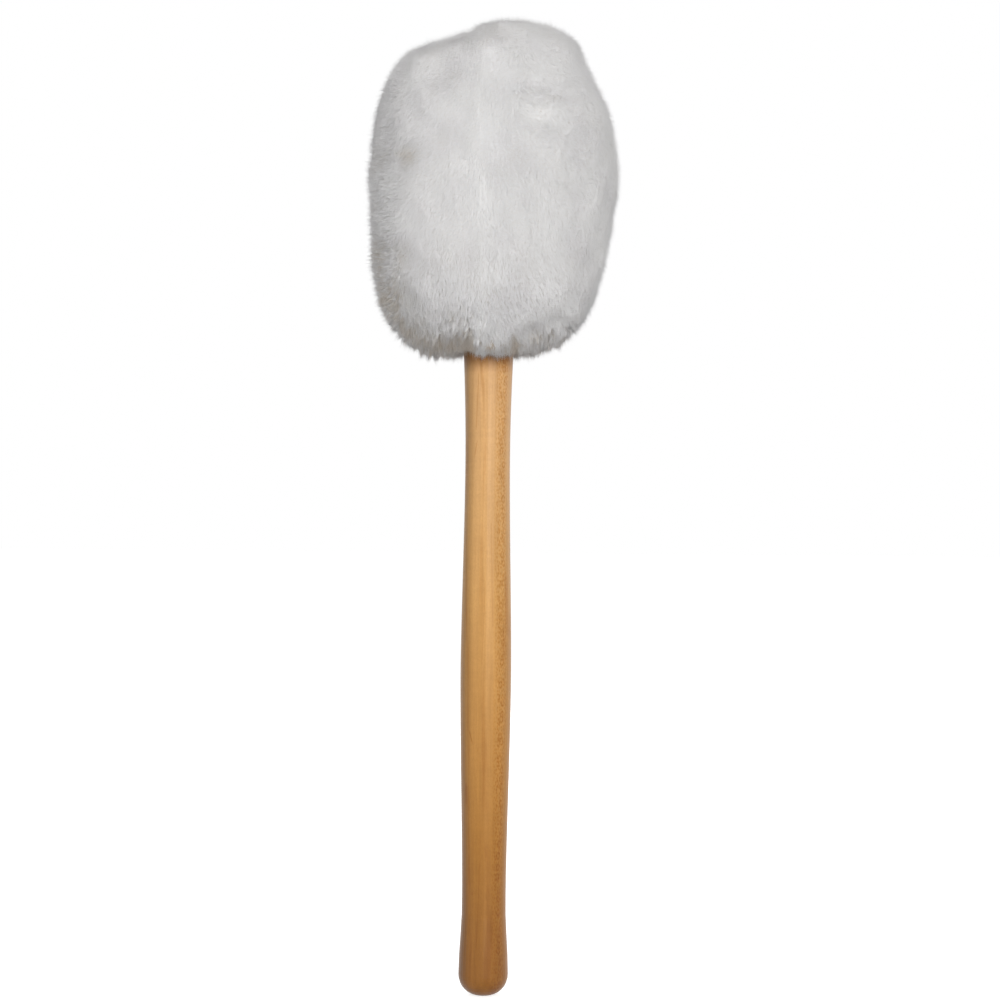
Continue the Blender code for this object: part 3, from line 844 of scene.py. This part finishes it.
def build_pile(head, material):
    """The pile: strands that stand up from the pelt in wisps, and wisps gathered in tufts."""
    rng = np.random.default_rng(SEED)
    at, tips, outward = spread(head, STRANDS, rng)
    _, wisps, _ = spread(head, WISPS, rng)
    _, tufts, tuft_out = spread(head, TUFTS, rng)
    tuft_of_wisp = nearest(wisps, tufts)
    wisp_of = nearest(tips, wisps)
    tuft_of = tuft_of_wisp[wisp_of]

    low, ruffle, gap = lowness(tips), ruffled(tips), in_gap(tips)
    ragged = np.maximum(low, STRANDS_RUFFLED * ruffle)
    outline = ramp(np.abs(outward[:, 1]), *OUTLINE_FACING)

    goals = wisp_aims(wisps, tufts, tuft_out, tuft_of_wisp, rng)[wisp_of]
    aims = gathered(tips, outward, goals, ragged, outline, rng)
    fuzz = rng.random(STRANDS) < FUZZ_SHARE[0] + FUZZ_SHARE[1] * outline
    aims += outward * (fuzz * FUZZ_REACH * rng.random(STRANDS) ** FUZZ_POWER)[:, None]
    hang = ramp(tips[:, 2], *HANG_HEIGHTS) * HANG * rng.random(TUFTS)[tuft_of]
    aims[:, 2] += GAP_RISE * gap - hang
    across = np.hypot(aims[:, 0], aims[:, 1])
    lower = aims[:, 2] < HEAD_MIDDLE
    aims[lower, :2] *= (np.maximum(across[lower], NECK_CLEARANCE) / across[lower])[:, None]

    lay = lay_of(tips, outward, low, ruffle)
    depth = sample(head.depths[:, :, None], *at)[:, 0]
    points = strand_lines(tips, outward, aims, lay, depth, rng)
    side = unit(np.cross(unit(aims - points[:, 0]), rng.normal(size=tips.shape)))
    width = STRAND_WIDTH * rng.uniform(*STRAND_WIDTHS, STRANDS)
    width *= np.where(fuzz, FUZZ_WIDTH, 1.0) * (1 + RAGGED_WIDTH * ragged)

    # Painted shade: strands darken between the low tufts and in the hem's gaps
    apart = np.linalg.norm(tips - tufts[tuft_of], axis=1)
    darker = APART_SHADE * low * ramp(apart, *APART) + GAP_SHADE * gap
    tint = tint_of(tips) + TINT_CHANGE * noise(tips, "tint")
    tint += STRAND_TINT * rng.normal(size=STRANDS)
    tint -= varied(WISP_TINT, low, ruffle) * rng.random(WISPS)[wisp_of]
    tint = np.clip(tint - darker, MAP_EDGE, 1 - MAP_EDGE)
    turn = rng.normal(size=wisps.shape)[wisp_of] * varied(WISP_TURN, low**2, ruffle)[:, None]
    facing = unit(outward + turn + rng.normal(size=tips.shape) * STRAND_TURN)
    roundness = varied(ROUNDNESS, low, ruffle)

    pieces = []
    for number, mask in enumerate(parts_of(tips), start=1):
        name = f"pile_{number}"
        parts = (part[mask] for part in (points, width, side, tint, facing, roundness))
        mesh = mesh_from_arrays(name, *strand_arrays(*parts))
        mesh.materials.append(material)
        pieces.append(link(bpy.data.objects.new(name, mesh)))
    return pieces


# Materials


def new_material(name, settings):
    """A material, and its shader with the settings."""
    material = bpy.data.materials.new(name)
    material.use_nodes = True
    shader = material.node_tree.nodes["Principled BSDF"]
    for key, value in settings.items():
        shader.inputs[key].default_value = value
    return material, shader


def add(tree, kind, settings=None, **inputs):
    """A node with its settings and socket values."""
    made = tree.nodes.new(kind)
    for key, value in (settings or {}).items():
        setattr(made, key, value)
    for key, value in inputs.items():
        made.inputs[key.replace("_", " ")].default_value = value
    return made


def colour_ramp(tree, factor, stops):
    """Colours between stops. A stop's colour is three numbers, or one for a grey."""
    made = tree.nodes.new("ShaderNodeValToRGB")
    elements = made.color_ramp.elements
    while len(elements) < len(stops):
        elements.new(0.5)
    for element, (place, colour) in zip(elements, stops):
        element.position = place
        element.color = (*(colour if isinstance(colour, tuple) else (colour,) * 3), 1.0)
    tree.links.new(factor, made.inputs["Fac"])
    return made.outputs["Color"]


def mix_colour(tree, factor, first, second, blend="MIX"):
    """Two colours mixed by a factor. Each of the three is a socket or a value."""
    made = tree.nodes.new("ShaderNodeMix")
    made.data_type = "RGBA"
    made.blend_type = blend
    for value, index in ((factor, 0), (first, 6), (second, 7)):
        socket = made.inputs[index]
        if isinstance(value, bpy.types.NodeSocket):
            tree.links.new(value, socket)
        elif isinstance(value, tuple):
            socket.default_value = (*value, 1.0)
        else:
            socket.default_value = value
    return made.outputs[2]


def maths(tree, operation, *values, clamp=False):
    """One arithmetic step on sockets and values."""
    made = tree.nodes.new("ShaderNodeMath")
    made.operation = operation
    made.use_clamp = clamp
    for value, socket in zip(values, made.inputs):
        if isinstance(value, bpy.types.NodeSocket):
            tree.links.new(value, socket)
        else:
            socket.default_value = value
    return made.outputs[0]


def object_coordinates(tree, along=1.0, turned=(0.0, 0.0, 0.0), shift=(0.0, 0.0, 0.0)):
    """The object's own coordinates, scaled along Z, turned and shifted."""
    source = tree.nodes.new("ShaderNodeTexCoord")
    mapping = add(tree, "ShaderNodeMapping", Location=shift, Rotation=turned, Scale=(1, 1, along))
    tree.links.new(source.outputs["Object"], mapping.inputs["Vector"])
    return mapping.outputs["Vector"]


def axes_of(tree, vector):
    """The three parts of a vector."""
    split = tree.nodes.new("ShaderNodeSeparateXYZ")
    tree.links.new(vector, split.inputs["Vector"])
    return [split.outputs[axis] for axis in "XYZ"]


def noise_node(tree, vector, scale, detail=2.0, roughness=0.5):
    """Noise at places, from 0 to 1."""
    made = add(tree, "ShaderNodeTexNoise", Scale=scale, Detail=detail, Roughness=roughness)
    tree.links.new(vector, made.inputs["Vector"])
    return made.outputs["Fac"]


def bump(tree, shader, height, distance):
    """Relief of a shader's surface, as deep as a distance."""
    made = add(tree, "ShaderNodeBump", Distance=distance)
    tree.links.new(height, made.inputs["Height"])
    tree.links.new(made.outputs["Normal"], shader.inputs["Normal"])


def plain_material(name, dark, light, scale, roughness, metallic, height, along):
    """A material of two tones in a grain of its own size, with its relief."""
    material, shader = new_material(name, {"Roughness": roughness, "Metallic": metallic})
    tree = material.node_tree
    grain = noise_node(tree, object_coordinates(tree, along), scale, 4.0, 0.6)
    colour = colour_ramp(tree, grain, ((0.3, dark), (0.7, light)))
    tree.links.new(colour, shader.inputs["Base Color"])
    bump(tree, shader, grain, height)
    return material


def fur_material():
    """White plush: strands a little darker and warmer at the root, tinted from patch to patch,
    partly with painted light and shade.
    """
    material, shader = new_material("white_plush", FUR_SHADER)
    tree = material.node_tree
    source = add(tree, "ShaderNodeUVMap", {"uv_map": "OFBake"})
    tint, along, _ = axes_of(tree, source.outputs["UV"])
    tone = colour_ramp(tree, tint, FUR_TONES)
    shade = colour_ramp(tree, along, FUR_SHADES)
    colour = mix_colour(tree, 1.0, tone, shade, "MULTIPLY")
    tree.links.new(colour, shader.inputs["Base Color"])
    return material


def pelt_material():
    """The backing with the pile's roots: white, and warm low down, where it darkens between the
    tufts as painted shade.
    """
    material, shader = new_material("plush_base", PELT_SHADER)
    tree = material.node_tree
    _, _, z = axes_of(tree, object_coordinates(tree))
    rise = maths(tree, "DIVIDE", maths(tree, "SUBTRACT", z, PELT_BOTTOM), PELT_HEIGHT)
    tone = colour_ramp(tree, rise, PELT_TONES_AND_SHADE)
    grain = noise_node(tree, object_coordinates(tree), PELT_GRAIN_SCALE, 3.0)
    colour = mix_colour(tree, 1.0, tone, colour_ramp(tree, grain, PELT_GRAIN), "MULTIPLY")
    tree.links.new(colour, shader.inputs["Base Color"])
    return material


def mark(tree, around, height, place, low, high, width, lean):
    """A stroke along the grain: 1 within its width round its place, between two heights."""
    middle = (low + high) / 2
    line = maths(tree, "MULTIPLY_ADD", maths(tree, "SUBTRACT", height, middle), lean, place)
    aside = maths(tree, "ABSOLUTE", maths(tree, "SUBTRACT", around, line))
    past = maths(tree, "ABSOLUTE", maths(tree, "SUBTRACT", height, middle))
    inside = maths(tree, "SUBTRACT", 1.0, maths(tree, "DIVIDE", aside, width), clamp=True)
    end = maths(tree, "SUBTRACT", high - low, maths(tree, "MULTIPLY", past, 2.0))
    ends = maths(tree, "DIVIDE", end, MARK_ENDS, clamp=True)
    return maths(tree, "MULTIPLY", inside, ends)


def growth_lines(tree):
    """1 on the thin lines of the growth rings, where they aren't broken."""
    lines = add(
        tree, "ShaderNodeTexWave", {"wave_type": "RINGS", "rings_direction": "Z"}, **RINGS
    )
    leaning = object_coordinates(tree, RINGS_ALONG, RINGS_LEAN, RINGS_PLACE)
    tree.links.new(leaning, lines.inputs["Vector"])
    line = colour_ramp(tree, lines.outputs["Fac"], tuple(zip(RINGS_LIMITS, (0.0, 1.0))))
    breaks = noise_node(tree, object_coordinates(tree, BREAKS_ALONG), BREAKS_SCALE, 2.0)
    breaks = colour_ramp(tree, breaks, tuple(zip(BREAKS_LIMITS, (0.0, 1.0))))
    return maths(tree, "MULTIPLY", line, breaks)


def fleck_amount(tree, flat, around, cell, width, stops):
    """1 on the flecks of one size, inside the streaks on the sides that face along the rays."""
    scaled = add(tree, "ShaderNodeMapping", Scale=(1 / cell[0], 1 / cell[1], 1.0))
    tree.links.new(flat, scaled.inputs["Vector"])
    cells = add(
        tree,
        "ShaderNodeTexVoronoi",
        {"voronoi_dimensions": "2D"},
        Scale=1.0,
        Randomness=FLECK_RANDOMNESS,
    )
    tree.links.new(scaled.outputs["Vector"], cells.inputs["Vector"])
    streaks = []
    for side in FLECK_SIDES:
        aside = maths(tree, "ABSOLUTE", maths(tree, "SUBTRACT", around, side))
        streaks.append(maths(tree, "MULTIPLY_ADD", aside, -2 / width, 2.0, clamp=True))
    fleck = colour_ramp(tree, cells.outputs["Distance"], stops)
    return maths(tree, "MULTIPLY", fleck, maths(tree, "MAXIMUM", *streaks))


def wood_material():
    """Maple under satin lacquer: fibres, growth lines, ray flecks on two sides, darker low down
    partly as painted shade, a painted shadow under the head and painted shade on the left side.
    """
    material, shader = new_material("lacquered_maple", WOOD_SHADER)
    tree = material.node_tree
    source = tree.nodes.new("ShaderNodeTexCoord")
    x, y, z = axes_of(tree, source.outputs["Object"])
    angle = maths(tree, "ARCTAN2", x, maths(tree, "MULTIPLY", y, -1.0))
    around = maths(tree, "MULTIPLY", angle, HANDLE_RADIUS)

    # Tones up the handle, with painted shade towards the butt and a painted shadow under the hem
    colour = colour_ramp(tree, maths(tree, "DIVIDE", z, WOOD_TOP), WOOD_TONES_AND_SHADE)
    for scale, detail, along, *stops in GRAINS:
        grain = noise_node(tree, object_coordinates(tree, along), scale, detail, GRAIN_ROUGHNESS)
        colour = mix_colour(tree, 1.0, colour, colour_ramp(tree, grain, stops), "MULTIPLY")
    bump(tree, shader, grain, FIBRE_RELIEF)

    line = maths(tree, "MULTIPLY", growth_lines(tree), LINE_STRENGTH)
    for *shape, depth in MARKS:
        stroke = mark(tree, around, z, *shape)
        line = maths(tree, "MAXIMUM", line, maths(tree, "MULTIPLY", stroke, depth))
    darker = mix_colour(tree, 1.0, colour, LINE_TONE, "MULTIPLY")
    colour = mix_colour(tree, line, colour, darker)

    flat = tree.nodes.new("ShaderNodeCombineXYZ")
    tree.links.new(around, flat.inputs["X"])
    tree.links.new(z, flat.inputs["Y"])
    for cell, tone, strength, width, stops in FLECKS:
        amount = fleck_amount(tree, flat.outputs["Vector"], around, cell, width, stops)
        amount = maths(tree, "MULTIPLY", amount, strength)
        flecked = mix_colour(tree, 1.0, colour, tone, "MULTIPLY")
        colour = mix_colour(tree, amount, colour, flecked)

    # Painted shade darkens the handle's left side
    past = maths(tree, "SUBTRACT", around, LEFT_SHADE_START)
    left = maths(tree, "MULTIPLY", past, -1 / LEFT_SHADE_WIDTH, clamp=True)
    shaded = mix_colour(tree, 1.0, colour, PAINTED_LEFT_SHADE, "MULTIPLY")
    colour = mix_colour(tree, left, colour, shaded)
    tree.links.new(colour, shader.inputs["Base Color"])
    return material


# Stage, light and camera


def seen_by(tree, *kinds):
    """1 for rays of these kinds, which look at a thing, and 0 for rays that gather its light."""
    path = tree.nodes.new("ShaderNodeLightPath")
    seen = 0.0
    for kind in kinds:
        seen = maths(tree, "MAXIMUM", seen, path.outputs[f"Is {kind} Ray"])
    return seen


def build_floor():
    """A pale floor that shows as white, and glows a little more far off, past the lamps' light."""
    reach = FLOOR_REACH
    corners = [(-reach, -reach, 0), (reach, -reach, 0), (reach, reach, 0), (-reach, reach, 0)]
    mesh = bpy.data.meshes.new("floor")
    mesh.from_pydata(corners, [], [(0, 1, 2, 3)])
    material, shader = new_material("floor", FLOOR_SHADER)
    tree = material.node_tree
    away = add(tree, "ShaderNodeVectorMath", {"operation": "LENGTH"})
    tree.links.new(object_coordinates(tree), away.inputs[0])
    far = maths(tree, "DIVIDE", away.outputs["Value"], FLOOR_FADE, clamp=True)
    glow = maths(tree, "MULTIPLY_ADD", far, FLOOR_GAIN, FLOOR_GLOW)
    seen = seen_by(tree, "Camera", "Glossy")
    tree.links.new(maths(tree, "MULTIPLY", seen, glow), shader.inputs["Emission Strength"])
    mesh.materials.append(material)
    return link(bpy.data.objects.new("floor", mesh))


def build_world():
    """A white world, dimmer as a light than it looks."""
    world = bpy.data.worlds.new("studio")
    bpy.context.scene.world = world
    world.use_nodes = True
    tree = world.node_tree
    background = tree.nodes["Background"]
    background.inputs["Color"].default_value = (1, 1, 1, 1)
    seen = seen_by(tree, "Camera", "Glossy", "Transmission")
    strength = maths(tree, "MULTIPLY_ADD", seen, 1.0 - WORLD_LIGHT, WORLD_LIGHT)
    tree.links.new(strength, background.inputs["Strength"])


def build_lamp(name, place, size, power):
    """A square lamp that looks at the point the lamps share."""
    light = bpy.data.lights.new(name, "AREA")
    light.shape = "SQUARE"
    light.size = size
    light.energy = power
    lamp = link(bpy.data.objects.new(name, light))
    lamp.location = place
    ahead = Vector(LAMPS_AIM) - Vector(place)
    lamp.rotation_euler = ahead.to_track_quat("-Z", "Y").to_euler()


def build_camera():
    """The photograph's view: straight from the front, with its slight roll."""
    lens = bpy.data.cameras.new("camera")
    lens.lens = LENS
    lens.sensor_width = SENSOR
    lens.clip_start, lens.clip_end = CLIP
    camera = link(bpy.data.objects.new("camera", lens))
    distance = IMAGE_WIDTH * LENS / SENSOR
    camera.location = (IMAGE_MIDDLE[0], -distance, IMAGE_MIDDLE[1])
    camera.rotation_euler = (math.radians(90), -ROLL, 0.0)
    bpy.context.scene.camera = camera


# Build

materials = {name: plain_material(name, *row) for name, row in PLAIN.items()}
finishes = {name: materials[finish] for name, finish in FINISHES.items()}
finishes["handle"] = wood_material()
for name, finish in finishes.items():
    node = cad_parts[name]
    node.data.materials.clear()
    node.data.materials.append(finish)

head = head_surface()
pelt = build_pelt(head, pelt_material())
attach(pelt, "root")
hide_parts("fur_panel_left", "fur_panel_right")
for piece in build_pile(head, fur_material()):
    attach(piece, "root")

floor = build_floor()
build_world()
for name, row in LAMPS.items():
    build_lamp(name, *row)
build_camera()
bpy.context.scene.view_settings.view_transform = "Standard"
